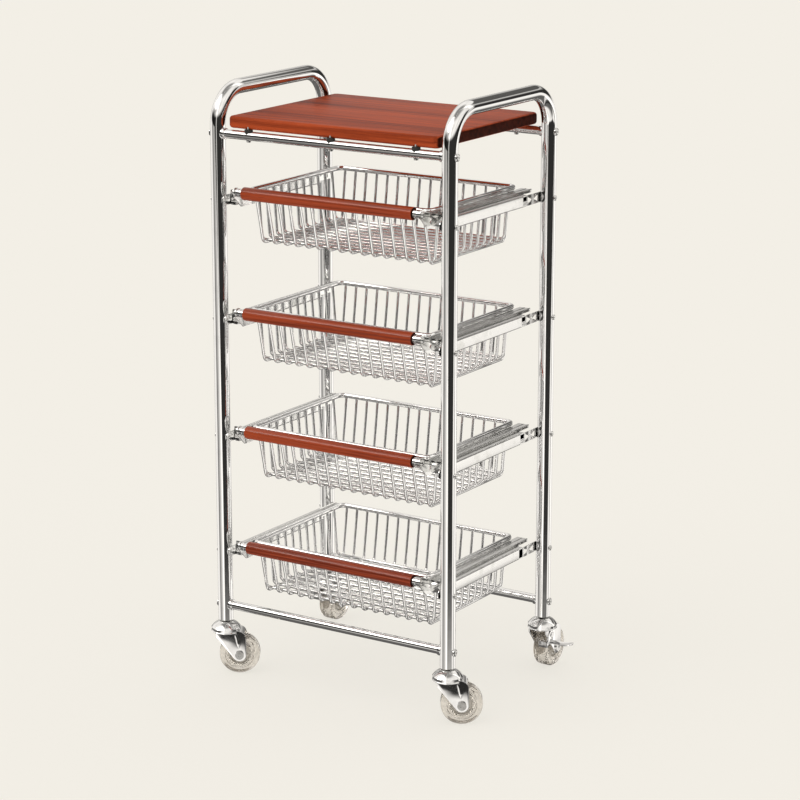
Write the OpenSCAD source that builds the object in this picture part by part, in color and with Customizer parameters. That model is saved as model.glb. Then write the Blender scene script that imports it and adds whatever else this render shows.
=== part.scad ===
// Kitchen trolley: two bent-tube side frames on swivel casters, joined by four cross bars,
// with a wooden top and four wire baskets that pull out on channel slides.
// X runs to the right, Y to the back and Z up. The floor is Z = 0.

/* [Frame] */
// Distance between the left and the right post axes
frame_w = 388; // [320:1:520]
// Distance between the front and the rear post axes
frame_d = 268; // [220:1:360]
// Height of the top of the side frames above the floor
frame_h = 882; // [860:1:1060]
// Outer diameter of the side-frame tube
post_d = 22; // [19:0.5:26]
// Wall of the side-frame tube
post_wall = 1; // [0.8:0.1:2]
// Centre-line radius of the bends at the top of a side frame
bend_r = 51; // [40:1:62]
// Outer diameter of a cross bar
bar_d = 13; // [12:0.5:16]
// Wall of a cross bar
bar_wall = 1.2; // [1:0.1:2]
// Height of the axes of the two bottom cross bars
low_bar_z = 106; // [100:1:112]
// Drop from the top tube's axis to the axes of the two top cross bars
top_bar_drop = 61; // [45:1:90]
// Length of the bright collar at each end of a cross bar
collar_len = 5; // [4:0.5:8]
// Wall of that collar
collar_wall = 1; // [0.8:0.1:2]

/* [Worktop] */
// Thickness of the wooden top
top_t = 17; // [12:1:22]
// Gap between the wooden top and the side tubes
top_side_gap = 7; // [4:1:14]
// Distance that the wooden top reaches past the post axes, front and back
top_overhang = 2; // [0:1:8]
// Corner radius of the wooden top
top_corner_r = 9; // [4:1:16]
// Thickness of the rubber pads under the wooden top
pad_t = 2.5; // [1:0.5:4]
// Distance from the middle to the outer pads
pad_span = 140; // [90:5:150]

/* [Baskets] */
// Number of baskets
levels = 4; // [4]
// Height of the lowest handle's axis above the floor
first_level_z = 204; // [200:1:212]
// Height from one handle to the next
level_pitch = 175; // [150:1:178]
// Depth of a basket from the rim's axis to the lowest wires' axis
basket_depth = 77.4; // [60:0.2:80]
// Distance from the front post axes to the front rim, towards the back
rim_front_gap = 16; // [14:1:30]
// Distance from the rear post axes to the rear rim, towards the front
rim_back_gap = 22; // [20:1:40]
// Distance from the side post axes to the side rims, towards the middle
rim_side_gap = 42; // [40:1:50]
// Diameter of the rim rod
rim_d = 7.4; // [6:0.2:8]
// Bend radius of the rim's corners
rim_corner_r = 10; // [8:1:14]
// Diameter of the basket wires
wire_d = 4.4; // [3.6:0.2:5]
// Number of wires that run from front to back
long_wires = 16; // [10:1:18]
// Number of wires that run from side to side
cross_wires = 11; // [8:1:12]
// Depth to which crossing wires sink into each other where they are welded
weld_sink = 0.3; // [0.1:0.1:0.5]
// How far the front wall leans in from the rim to the floor
front_lean = 18; // [8:1:24]
// How far the back wall leans in from the rim to the floor
back_lean = 11; // [6:1:20]
// How far each side wall leans in from the rim to the floor
side_lean = 5.5; // [4:0.5:10]
// Bend radius of the front-to-back wires
long_bend_r = 9; // [6:1:12]
// Bend radius of the side-to-side wires
cross_bend_r = 7; // [5:1:10]

/* [Handles] */
// Diameter of the wooden handle
handle_d = 18.5; // [14:0.5:20]
// Distance from the front post axes to the handle's axis, towards the front
handle_out = 10; // [8:1:20]
// Length of the bright sleeve between the handle and its bracket
ferrule_len = 12.5; // [8:0.5:20]
// Diameter of that sleeve
ferrule_d = 12.5; // [10:0.5:14]
// Diameter of the bolt through the bracket, the sleeve and the handle
handle_bolt_d = 5; // [4:1:6]
// Length of that bolt inside the wood
handle_bolt_grip = 24; // [15:1:35]

/* [Slides] */
// Height of the fixed channel
rail_h = 17; // [16:0.5:20]
// Depth of the fixed channel, sideways
rail_w = 11; // [10:0.5:12]
// Sheet thickness of the slide parts
sheet_t = 1; // [0.8:0.1:1.2]
// Drop from the rim's axis to the top of the fixed channel
rail_drop = 6; // [5:0.5:8]
// Gap between the moving and the fixed channel
slide_gap = 0.4; // [0.3:0.05:0.5]
// Diameter of the screws that hold a slide to its posts
rail_screw_d = 4; // [3:0.5:5]

/* [Casters] */
// Diameter of a wheel
wheel_d = 60; // [50:1:62]
// Width of a wheel's tread
wheel_w = 22; // [18:1:24]
// Height from the floor to the bottom of the posts
caster_h = 83; // [83:1:90]
// Distance from the swivel axis to the axle
trail = 20; // [14:1:24]
// Diameter of the domed cap over the swivel
dome_d = 44; // [40:1:48]
// Diameter of the axle and of the swivel stem
axle_d = 8; // [6:1:10]
// Sheet thickness of the fork
fork_t = 2; // [1.5:0.5:3]
// Direction in which the front wheels trail, from the right towards the back
front_heading = 33; // [0:1:90]
// Direction in which the rear wheels trail, from the right towards the back
rear_heading = 90; // [90]
// Reach of a brake pedal from the swivel axis
pedal_reach = 57; // [50:1:64]

/* [Hidden] */
$fn = 48;
fit = 0.05;             // radial clearance of a pin or a screw in its hole
run = 0.3;              // clearance between faces that pass each other
post_r = post_d / 2;
bar_r = bar_d / 2;
rim_r = rim_d / 2;
wire_w = wire_d * sqrt(PI) / 2;         // side of the square with the round wire's area
bend_steps = 6;                         // flats in each bend of a wire
top_tube_z = frame_h - post_r;
top_bar_z = top_tube_z - top_bar_drop;
post_x = frame_w / 2;
post_y = frame_d / 2;
inner_x = post_x - post_r;              // inner face of the side tubes

bar_screw_d = 6;
bar_plug_len = 26;                      // solid threaded end of a cross bar
screw_head_h = 3;
bar_end_x = inner_x + 0.6;

top_z = top_bar_z + bar_r + pad_t;      // underside of the wooden top
top_half_w = inner_x - top_side_gap;
top_half_d = post_y + top_overhang;
pad_d = 12;
top_screw_d = 4;
top_screw_bite = 9;                     // length of the screw inside the wood

rim_x = post_x - rim_side_gap;
rim_front = -(post_y - rim_front_gap);
rim_back = post_y - rim_back_gap;
handle_y = -(post_y + handle_out);
floor_z = -basket_depth;
cross_z = floor_z + wire_w - weld_sink; // axis of the side-to-side wires over the floor
wire_span = 2 * (rim_x - rim_corner_r - 0.6);
cross_front = rim_front + front_lean + 4;
cross_back = rim_back - back_lean - 10;

rail_out = inner_x - run;               // outer face of the fixed channel
rail_in = rail_out - rail_w;            // open side of the fixed channel
rail_lip = 2.5;
rail_front = -(post_y - 12);
rail_back = post_y - 42;
rail_top = -rail_drop;
rail_mid = rail_top - rail_h / 2;
tab_h = 15;                             // height of the fixed channel's end tabs
runner_h = rail_h - 2 * sheet_t - 2 * slide_gap;
runner_neck_h = rail_h - 2 * rail_lip - 2 * slide_gap;
runner_out = rail_out - sheet_t - slide_gap;
runner_web = rail_in - run - sheet_t;
flange_top = -rim_r - 0.1;
flange_in = rim_x + wire_w / 2 - side_lean * (flange_top - sheet_t) / cross_z - 0.05; // meets the side wires
plate_x = rim_x + rim_r + 0.1;          // inner face of the handle bracket
runner_back = rail_back - 5;
flange_back = post_y - 8;                // the flange reaches further back than the channel
flange_lip = 4;
bracket_t = 1.5;
bracket_front = handle_y + 12;
bracket_back = -(post_y - 36);

handle_half = plate_x - ferrule_len;
bolt_head_h = 2.6;

wheel_r = wheel_d / 2;
axle_r = axle_d / 2;
dome_r = dome_d / 2;
dome_h = 12;
dome_top = caster_h - 1;
dome_base = dome_top - dome_h;
crown_z = wheel_d + 4;                  // underside of the fork's crown
leg_in = wheel_w / 2 + 2;               // inner face of a fork leg
leg_out = leg_in + fork_t;
hub_half = wheel_w / 2 + 1.6;           // half length of the hub, 0.4 from each leg
leg_round = 10;
axle_head_r = 6.5;
axle_head_h = 2.5;
brake_pivot = [-1, crown_z - 9];               // along the trail, and up
brake_pin_r = 2.5;
lever_in = leg_out + run;
lever_t = 1.6;
shoe_x = trail - wheel_r - 5;

// The box of the whole trolley is centred on the origin from front to back
front_reach = max(post_y + dome_r, -handle_y + handle_d / 2);
back_reach = post_y + trail + wheel_r;
y_shift = (front_reach - back_reach) / 2;

sides = ["left", "right"];
corners = ["front_left", "front_right", "rear_left", "rear_right"];

steel = "silver";
chestnut = "sienna";

function level_z(k) = first_level_z + (k - 1) * level_pitch;
function side_sign(s) = s == "left" ? -1 : 1;
function corner_x(c) = c == "front_left" || c == "rear_left" ? -1 : 1;
function corner_y(c) = c == "front_left" || c == "front_right" ? -1 : 1;
function unit(v) = v / norm(v);

// ---- Shared shapes ----

// A rod between two points
module rod(a, b, r) {
    v = b - a;
    length = norm(v);
    tilt = acos(v[2] / length);
    turn = atan2(v[1], v[0]);
    translate(a) rotate([0, tilt, turn]) cylinder(h = length, r = r);
}

// A rod along X, from x0 to x1
module x_rod(x0, x1, r) {
    translate([x0, 0, 0]) rotate([0, 90, 0]) cylinder(h = x1 - x0, r = r);
}

// One edge of a wire that follows a path in the XY plane at a sideways distance off,
// with a bend of radius r at each inner point
function wire_edge(path, r, off) = let (last = len(path) - 1) concat(
    [path[0] + off * left_of(path[1] - path[0])],
    [for (i = [1:last - 1])
        each bend_points(path[i], unit(path[i] - path[i - 1]), unit(path[i + 1] - path[i]), r, off)],
    [path[last] + off * left_of(path[last] - path[last - 1])]
);
function left_of(v) = unit([-v[1], v[0]]);
function bend_points(corner, way_in, way_out, r, off) = let (
    turn = cross(way_in, way_out) > 0 ? 1 : -1,
    sweep = acos(way_in * way_out),
    centre = corner - way_in * r * tan(sweep / 2) + turn * r * left_of(way_in),
    first = atan2(-turn * left_of(way_in)[1], -turn * left_of(way_in)[0])
) [for (j = [0:bend_steps]) let (angle = first + turn * sweep * j / bend_steps)
    centre + (r - turn * off) * [cos(angle), sin(angle)]];

// A wire of square section w, as heavy as a round one, along a path in the XY plane
module bent_wire(path, r, w) {
    right = wire_edge(path, r, -w / 2);
    linear_extrude(w, center = true)
        polygon(concat(wire_edge(path, r, w / 2), [for (i = [len(right) - 1:-1:0]) right[i]]));
}

// A flat rounded rectangle, centred
module rounded_rect(w, d, r) {
    square([w - 2 * r, d], center = true);
    square([w, d - 2 * r], center = true);
    for (x = [-1, 1], y = [-1, 1]) translate([x * (w / 2 - r), y * (d / 2 - r)]) circle(r);
}

// A sheet cut in the YZ plane, from x = 0 to x = t
module side_sheet(t) {
    rotate([90, 0, 90]) linear_extrude(t) children();
}

// Places a child once for each cross bar, at its middle
module at_bars() {
    for (y = [-post_y, post_y], z = [low_bar_z, top_bar_z]) translate([0, y, z]) children();
}

// ---- Frame ----

// A ring of tube, drawn flat for the straights and the bends
module tube_section() {
    difference() {
        circle(post_r);
        circle(post_r - post_wall);
    }
}

// An upside-down U of bent tube, with the holes for the bars' and the slides' screws
module side_frame(s) {
    x = side_sign(s) * post_x;
    leg_top = top_tube_z - bend_r;
    color(steel)
    difference() {
        translate([x, 0, 0]) {
            for (y = [-post_y, post_y])
                translate([0, y, caster_h]) linear_extrude(leg_top - caster_h) tube_section();
            for (t = [0, 1]) mirror([0, t, 0])
                translate([0, post_y - bend_r, leg_top])
                rotate([90, 0, 90]) rotate_extrude(angle = 90) translate([bend_r, 0]) tube_section();
            translate([0, bend_r - post_y, top_tube_z])
                rotate([-90, 0, 0]) linear_extrude(frame_d - 2 * bend_r) tube_section();
        }
        at_bars() x_rod(x - post_d, x + post_d, bar_screw_d / 2 + fit);
        for (k = [1:levels], y = [-post_y, post_y])
            translate([0, y, level_z(k) + rail_mid])
            x_rod(x - post_d, x + post_d, rail_screw_d / 2 + fit);
    }
}

// A straight tube with solid, tapped ends shaped to lie against the posts.
// The top ones are also drilled upright for the worktop's screws.
module crossbar(y, z) {
    tap_r = bar_screw_d / 2 + fit;
    color(steel)
    translate([0, y, z])
    difference() {
        x_rod(-bar_end_x - bar_r, bar_end_x + bar_r, bar_r);
        x_rod(bar_plug_len - inner_x, inner_x - bar_plug_len, bar_r - bar_wall);
        x_rod(-post_x, post_x, tap_r);
        for (x = [-post_x, post_x])
            translate([x, 0, -bar_d]) cylinder(h = 2 * bar_d, r = post_r + fit);
        if (z == top_bar_z) for (x = [-pad_span, 0, pad_span])
            translate([x, 0, -bar_d]) cylinder(h = 2 * bar_d, r = top_screw_d / 2 + fit);
    }
}

// The bright collars that hide the joints between the bars and the posts
module bar_collars() {
    color(steel)
    at_bars() for (t = [0, 1]) mirror([t, 0, 0])
        difference() {
            x_rod(inner_x - collar_len, inner_x + bar_r, bar_r + fit + collar_wall);
            x_rod(0, post_x, bar_r + fit);
            translate([post_x, 0, -bar_d]) cylinder(h = 2 * bar_d, r = post_r + fit);
        }
}

// Domed screws that go through the posts from outside into the bars
module bar_screws() {
    head_x = post_x + post_r;
    color(steel)
    at_bars() for (t = [0, 1]) mirror([t, 0, 0]) {
        x_rod(head_x - post_d - bar_plug_len / 2, head_x + 0.6, bar_screw_d / 2);
        dome_head(head_x, 5.5, screw_head_h);
    }
}

// A low-domed screw head on the outside at x, of radius r and height h, with a socket for a key
module dome_head(x, r, h) {
    socket_r = 0.35 * r;
    translate([x, 0, 0]) rotate([0, 90, 0]) rotate_extrude() polygon([
        [0, 0], [r, 0], [r, 0.35 * h], [0.88 * r, 0.7 * h], [0.6 * r, h],
        [socket_r, h], [socket_r, 0.55 * h], [0, 0.55 * h]
    ]);
}

// ---- Worktop ----

module at_pads() {
    for (x = [-pad_span, 0, pad_span], y = [-post_y, post_y]) translate([x, y, 0]) children();
}

// The wooden board, with blind pilot holes for the screws from below
module worktop() {
    color(chestnut)
    difference() {
        translate([0, 0, top_z])
            linear_extrude(top_t) rounded_rect(2 * top_half_w, 2 * top_half_d, top_corner_r);
        at_pads() translate([0, 0, top_z - 1])
            cylinder(h = top_screw_bite + 1.5, r = top_screw_d / 2 + fit);
    }
}

// Rubber pads that sit on the top bars and carry the board
module worktop_pads() {
    color("black")
    at_pads() difference() {
        translate([0, 0, top_bar_z]) cylinder(h = bar_r + pad_t, d = pad_d);
        translate([-pad_d, 0, top_bar_z]) x_rod(0, 2 * pad_d, bar_r + fit);
        translate([-pad_d, -pad_d, top_bar_z - pad_d]) cube([2 * pad_d, 2 * pad_d, pad_d + 3]);
        translate([0, 0, top_bar_z]) cylinder(h = bar_r + 2 * pad_t, r = top_screw_d / 2 + fit);
    }
}

// Screws that go up through the top bars and the pads into the board
module worktop_screws() {
    foot_z = top_bar_z - bar_r;
    color(steel)
    at_pads() {
        translate([0, 0, foot_z - 0.5]) cylinder(h = top_z + top_screw_bite - foot_z, d = top_screw_d);
        translate([0, 0, foot_z - 2.4]) cylinder(h = 2.4, r = 3.6);
    }
}

// ---- Baskets ----

// A welded basket: a bent rod for the rim, and two layers of U-shaped wires that cross in the floor
module basket(k) {
    color(steel)
    translate([0, 0, level_z(k)]) {
        rim();
        for (i = [0:long_wires - 1])
            translate([wire_span * (i / (long_wires - 1) - 0.5), 0, 0]) rotate([90, 0, 90])
            bent_wire([
                [rim_front, 0], [rim_front + front_lean, floor_z],
                [rim_back - back_lean, floor_z], [rim_back, 0]
            ], long_bend_r, wire_w);
        for (i = [0:cross_wires - 1])
            translate([0, cross_front + (cross_back - cross_front) * i / (cross_wires - 1), 0])
            rotate([90, 0, 0])
            bent_wire([
                [-rim_x, 0], [side_lean - rim_x, cross_z], [rim_x - side_lean, cross_z], [rim_x, 0]
            ], cross_bend_r, wire_w);
    }
}

// The rim rod, a rectangle with rounded corners
module rim() {
    mid_y = (rim_front + rim_back) / 2;
    half_d = (rim_back - rim_front) / 2;
    run_x = rim_x - rim_corner_r;
    run_y = half_d - rim_corner_r;
    translate([0, mid_y, 0])
    for (t = [0, 1]) mirror([t, 0, 0]) for (u = [0, 1]) mirror([0, u, 0]) {
        rod([0, half_d, 0], [run_x, half_d, 0], rim_r);
        rod([rim_x, 0, 0], [rim_x, run_y, 0], rim_r);
        translate([run_x, run_y, 0]) rotate_extrude(angle = 90) translate([rim_corner_r, 0]) circle(rim_r);
    }
}

// ---- Handles ----

// A turned wooden bar with eased ends, drilled at each end for its bolt
module handle(k) {
    ease = 1.2;
    r = handle_d / 2;
    color(chestnut)
    translate([0, handle_y, level_z(k)])
    difference() {
        rotate([0, 90, 0]) rotate_extrude() polygon([
            [0, -handle_half], [r - ease, -handle_half], [r, ease - handle_half],
            [r, handle_half - ease], [r - ease, handle_half], [0, handle_half]
        ]);
        for (t = [0, 1]) mirror([t, 0, 0])
            x_rod(handle_half - handle_bolt_grip - 1, handle_half + 1, handle_bolt_d / 2 + fit);
    }
}

// Two bright sleeves that hold the wood away from its brackets
module ferrules(k) {
    color(steel)
    translate([0, handle_y, level_z(k)])
    for (t = [0, 1]) mirror([t, 0, 0])
        difference() {
            x_rod(handle_half, plate_x, ferrule_d / 2);
            x_rod(handle_half - 1, plate_x + 1, handle_bolt_d / 2 + fit);
        }
}

// Two bolts that clamp the handle and the sleeves between the brackets
module handle_bolts(k) {
    seat = plate_x + bracket_t;
    color(steel)
    translate([0, handle_y, level_z(k)])
    for (t = [0, 1]) mirror([t, 0, 0]) {
        x_rod(handle_half - handle_bolt_grip, seat + 0.6, handle_bolt_d / 2);
        dome_head(seat, 4.4, bolt_head_h);
    }
}

// ---- Slides ----

// A rectangle of sheet in a slide's cross-section, between two corners
module strip(x0, z0, x1, z1) {
    translate([x0, z0]) square([x1 - x0, z1 - z0]);
}

// Places a slide part on its own side at its own level; children are drawn on the right
module on_side(s, k) {
    translate([0, 0, level_z(k)]) mirror([side_sign(s) < 0 ? 1 : 0, 0, 0]) children();
}

// Pairs of triangular piercings about a point, in the sheet's plane
module piercings(y, z, w, h) {
    for (t = [0, 1]) translate([y, z]) mirror([t, 0]) {
        polygon([[1, 0], [w, h], [w, -h]]);
    }
}

// The fixed channel, open towards the basket, with a pierced tab at each end for the post screw
module rail(s, k) {
    low = rail_top - rail_h;
    web = rail_out - sheet_t;
    tab_start = post_y - tab_h / 2;
    color(steel)
    on_side(s, k)
    difference() {
        union() {
            translate([0, rail_back, 0]) rotate([90, 0, 0]) linear_extrude(rail_back - rail_front) {
                strip(web, low, rail_out, rail_top);
                strip(rail_in, rail_top - sheet_t, rail_out, rail_top);
                strip(rail_in, low, rail_out, low + sheet_t);
                strip(rail_in, rail_top - rail_lip, rail_in + sheet_t, rail_top);
                strip(rail_in, low, rail_in + sheet_t, low + rail_lip);
            }
            translate([web, 0, rail_mid]) side_sheet(sheet_t) difference() {
                for (t = [0, 1]) mirror([t, 0]) {
                    end = t == 0 ? rail_back : -rail_front;
                    translate([post_y, 0]) circle(tab_h / 2);
                    translate([end - 10, -tab_h / 2]) square([post_y - end + 10, tab_h]);
                }
                piercings((tab_start + rail_back) / 2, 0, (tab_start - rail_back) / 2 - 4, 5);
            }
        }
        for (y = [-post_y, post_y])
            translate([0, y, rail_mid]) x_rod(inner_x - 10, post_x, rail_screw_d / 2 + fit);
    }
}

// Domed screws that go through the posts from outside into the tabs of the slides
module rail_screws() {
    head_x = post_x + post_r;
    color(steel)
    for (k = [1:levels], s = sides, y = [-post_y, post_y])
        on_side(s, k) translate([0, y, rail_mid]) {
            x_rod(rail_out - sheet_t - 1.2, head_x + 0.6, rail_screw_d / 2);
            dome_head(head_x, 3.8, 2.2);
        }
}

// The moving channel: it runs inside the fixed one, and its top flange carries the basket's rim.
// The upright bracket at its front holds the handle.
module runner(s, k) {
    half_h = runner_h / 2;
    half_neck = runner_neck_h / 2;
    step_x = rail_in + sheet_t + slide_gap;
    color(steel)
    on_side(s, k) {
        translate([0, runner_back, 0]) rotate([90, 0, 0]) linear_extrude(runner_back - rail_front) {
            strip(runner_web, rail_mid - half_neck, runner_web + sheet_t, flange_top);
            strip(flange_in, flange_top - sheet_t, runner_web + sheet_t, flange_top);
            for (t = [0, 1]) translate([0, rail_mid]) mirror([0, t]) {
                strip(runner_web, half_neck - sheet_t, step_x + sheet_t, half_neck);
                strip(step_x, half_neck - sheet_t, step_x + sheet_t, half_h);
                strip(step_x, half_h - sheet_t, runner_out, half_h);
            }
        }
        translate([0, flange_back, 0]) rotate([90, 0, 0]) linear_extrude(flange_back - runner_back) {
            strip(runner_web, flange_top - flange_lip, runner_web + sheet_t, flange_top);
            strip(flange_in, flange_top - sheet_t, runner_web + sheet_t, flange_top);
        }
        translate([plate_x, 0, 0]) side_sheet(bracket_t) handle_bracket();
        translate([0, bracket_back, 0]) rotate([90, 0, 0]) linear_extrude(bracket_back - bracket_front)
            strip(flange_in, flange_top - sheet_t, runner_web + sheet_t, flange_top);
    }
}

// The outline of the handle's bracket, seen from the side, round at the handle's bolt
module handle_bracket() {
    eye_r = 7.5;
    foot = rail_top - rail_h + 1;
    difference() {
        union() {
            translate([handle_y, 0]) circle(eye_r);
            polygon([
                [handle_y, eye_r], [bracket_front, 1.5], [bracket_back, 1.5],
                [bracket_back, foot], [bracket_front, foot], [handle_y - 0.6 * eye_r, -0.8 * eye_r]
            ]);
        }
        translate([handle_y, 0]) circle(handle_bolt_d / 2 + fit);
        piercings((bracket_front + bracket_back) / 2 - 4, (foot + 1.5) / 2, 7, 5);
    }
}

// ---- Casters ----

// Places a child with its origin under a post and its X axis along the wheel's trail
module at_caster(c) {
    translate([corner_x(c) * post_x, corner_y(c) * post_y, 0])
        rotate(corner_y(c) < 0 ? front_heading : rear_heading) children();
}

// A rod along Y, from y0 to y1
module y_rod(y0, y1, r) {
    translate([0, y0, 0]) rotate([-90, 0, 0]) cylinder(h = y1 - y0, r = r);
}

// The plugs in the ends of the posts, each with the stud that its caster swivels on
module caster_stems() {
    plug_h = low_bar_z - caster_h - bar_screw_d / 2 - 2;
    foot = crown_z - 3.5;
    color(steel)
    for (c = corners) at_caster(c) {
        translate([0, 0, caster_h - 0.7]) cylinder(h = 0.7, r = post_r);
        translate([0, 0, caster_h - 0.1]) cylinder(h = plug_h, r = post_r - post_wall - fit);
        translate([0, 0, foot + 1]) cylinder(h = caster_h - foot - 1, r = axle_r);
        translate([0, 0, foot]) cylinder(h = 3.1, r = axle_r + 3);
    }
}

// The domed cap over the swivel, hollow underneath
module dome() {
    ball = (dome_r * dome_r + dome_h * dome_h) / (2 * dome_h);
    difference() {
        union() {
            intersection() {
                translate([0, 0, dome_top - ball]) sphere(ball);
                translate([0, 0, dome_base]) cylinder(h = dome_h + 1, r = dome_r + 1);
            }
            translate([0, 0, crown_z]) cylinder(h = dome_base - crown_z, r = dome_r);
        }
        intersection() {
            translate([0, 0, dome_top - ball]) sphere(ball - fork_t);
            translate([0, 0, crown_z - 1]) cylinder(h = dome_h + 9, r = dome_r - fork_t);
        }
    }
}

// The outline of a fork leg, seen from the side, round at the axle
module fork_leg() {
    back = -15;
    knee = [back, crown_z - 6];
    axle = [trail, wheel_r];
    reach = norm(axle - knee);
    slope = atan2(axle[1] - knee[1], axle[0] - knee[0]) - asin(leg_round / reach);
    foot = knee + sqrt(reach * reach - leg_round * leg_round) * [cos(slope), sin(slope)];
    polygon([
        [back, crown_z + 3], [trail + leg_round, crown_z + 3], [trail + leg_round, wheel_r],
        axle, foot, knee
    ]);
    translate(axle) circle(leg_round);
}

// A caster's swivelling fork under its domed cap; the rear ones carry the brake's pin
module fork(c) {
    color(steel)
    at_caster(c)
    difference() {
        union() {
            dome();
            translate([0, 0, crown_z]) cylinder(h = 3, r = dome_r);
            translate([0, -leg_out, crown_z]) cube([trail + leg_round, 2 * leg_out, 3]);
            for (y = [-leg_out, leg_in])
                translate([0, y + fork_t, 0]) rotate([90, 0, 0]) linear_extrude(fork_t) fork_leg();
            if (corner_y(c) > 0)
                mirror([0, corner_x(c) > 0 ? 1 : 0, 0]) translate([brake_pivot[0], 0, brake_pivot[1]]) {
                    pin_head_y = leg_out + lever_t + 2 * run;
                    y_rod(leg_out - 0.5, pin_head_y + run, brake_pin_r);
                    y_rod(pin_head_y, pin_head_y + 1.2, brake_pin_r + 1.6);
                }
        }
        translate([0, 0, crown_z - 1]) cylinder(h = caster_h, r = axle_r + fit);
        translate([trail, 0, wheel_r]) y_rod(-leg_out - 1, leg_out + 1, axle_r + fit);
    }
}

// A clear moulded wheel with a raised hub, a sunk disc and rounded shoulders
module wheel(c) {
    half = wheel_w / 2;
    bore = axle_r + fit;
    shoulder = 3;
    upper = [
        [bore, hub_half], [8, hub_half], [9.5, half - 1.5], [15.5, half - 1.5], [16.5, half],
        [18.5, half], [19.5, half - 0.8], [20.5, half], [wheel_r - shoulder, half],
        [wheel_r - 0.3 * shoulder, half - 0.3 * shoulder], [wheel_r, half - shoulder]
    ];
    n = len(upper);
    lower = [for (i = [0:n - 1]) [upper[n - 1 - i][0], -upper[n - 1 - i][1]]];
    color("gainsboro")
    at_caster(c)
    translate([trail, 0, wheel_r]) rotate([90, 0, 0]) rotate_extrude() polygon(concat(upper, lower));
}

// A wheel's axle, with a head outside each leg; each head has a socket for a key
module axle(c) {
    head_in = leg_out + fit;
    head_out = head_in + axle_head_h;
    color(steel)
    at_caster(c)
    translate([trail, 0, wheel_r])
    difference() {
        union() {
            y_rod(-head_out, head_out, axle_r);
            y_rod(-head_out, -head_in, axle_head_r);
            y_rod(head_in, head_out, axle_head_r);
        }
        for (y = [-head_out - 1, head_out - 1.6]) y_rod(y, y + 2.6, 2.3);
    }
}

// A pedal beside a rear fork: pressed down, it swings its shoe towards the wheel's tread
module brake_lever(s) {
    c = s == "left" ? "rear_left" : "rear_right";
    eye_r = 7;
    pedal_z = brake_pivot[1] - 8;
    pedal_in = lever_in + lever_t;
    color(steel)
    at_caster(c) mirror([0, corner_x(c) > 0 ? 1 : 0, 0]) {
        difference() {
            union() {
                translate([0, pedal_in, 0]) rotate([90, 0, 0]) linear_extrude(lever_t) {
                    translate(brake_pivot) circle(eye_r);
                    polygon([
                        brake_pivot + [0, eye_r], brake_pivot + [eye_r, 0], [2, pedal_z - 3],
                        [shoe_x, pedal_z - 9], [shoe_x, pedal_z]
                    ]);
                }
                translate([shoe_x, 2, pedal_z - 9]) cube([lever_t, pedal_in - 2, 9]);
                translate([shoe_x, pedal_in - lever_t, pedal_z - lever_t]) linear_extrude(lever_t) {
                    square([15, pedal_reach - 7 - pedal_in + lever_t]);
                    translate([7.5, pedal_reach - 7.5 - pedal_in + lever_t]) circle(7.5);
                }
            }
            translate([brake_pivot[0], 0, brake_pivot[1]]) y_rod(leg_out, pedal_in + 1, brake_pin_r + fit);
        }
    }
}

// ---- The trolley ----

module placed() {
    translate([0, y_shift, 0]) children();
}

for (s = sides) {
    placed() side_frame(s);
}
placed() crossbar(-post_y, top_bar_z);  // crossbar_top_front
placed() crossbar(post_y, top_bar_z);  // crossbar_top_rear
placed() crossbar(-post_y, low_bar_z);  // crossbar_bottom_front
placed() crossbar(post_y, low_bar_z);  // crossbar_bottom_rear
placed() bar_collars();
placed() bar_screws();
placed() worktop();
placed() worktop_pads();
placed() worktop_screws();
for (k = [1:levels]) {
    for (s = sides) {
        placed() rail(s, k);
        placed() runner(s, k);
    }
    placed() basket(k);
    placed() handle(k);
    placed() ferrules(k);
    placed() handle_bolts(k);
}
placed() rail_screws();
placed() caster_stems();
for (c = corners) {
    placed() fork(c);
    placed() wheel(c);
    placed() axle(c);
}
for (s = sides) {
    placed() brake_lever(s);
}
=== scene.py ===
# A slim kitchen trolley: chromed tube sides on swivel casters, a wooden top, and four wire
# baskets with wooden handles that pull out on channel slides.
import math

import bmesh
import bpy
from mathutils import Matrix, Vector


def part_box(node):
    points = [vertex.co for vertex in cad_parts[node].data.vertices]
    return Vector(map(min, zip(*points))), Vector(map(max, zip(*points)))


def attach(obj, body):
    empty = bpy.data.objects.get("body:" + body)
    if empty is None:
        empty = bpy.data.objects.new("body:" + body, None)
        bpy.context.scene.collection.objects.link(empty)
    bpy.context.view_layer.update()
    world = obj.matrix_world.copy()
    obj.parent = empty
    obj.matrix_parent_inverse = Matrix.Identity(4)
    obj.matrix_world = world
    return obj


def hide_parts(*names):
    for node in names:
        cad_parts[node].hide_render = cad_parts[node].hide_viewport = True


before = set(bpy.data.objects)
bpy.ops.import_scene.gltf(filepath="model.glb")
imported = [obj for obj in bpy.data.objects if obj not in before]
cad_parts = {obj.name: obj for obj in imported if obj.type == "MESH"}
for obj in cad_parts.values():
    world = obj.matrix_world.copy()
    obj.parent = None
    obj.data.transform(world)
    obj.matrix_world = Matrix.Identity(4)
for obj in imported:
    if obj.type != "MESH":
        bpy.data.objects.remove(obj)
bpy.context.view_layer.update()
levels = [1, 2, 3, 4]
corners = ["front_left", "front_right", "rear_left", "rear_right"]


# ---- Studio ----
# A plain pale table under soft, even light. The trolley stands in a tent of white cloth with one
# black panel to its right and a narrower one to its left, which draw the dark lines along chrome.

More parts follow.
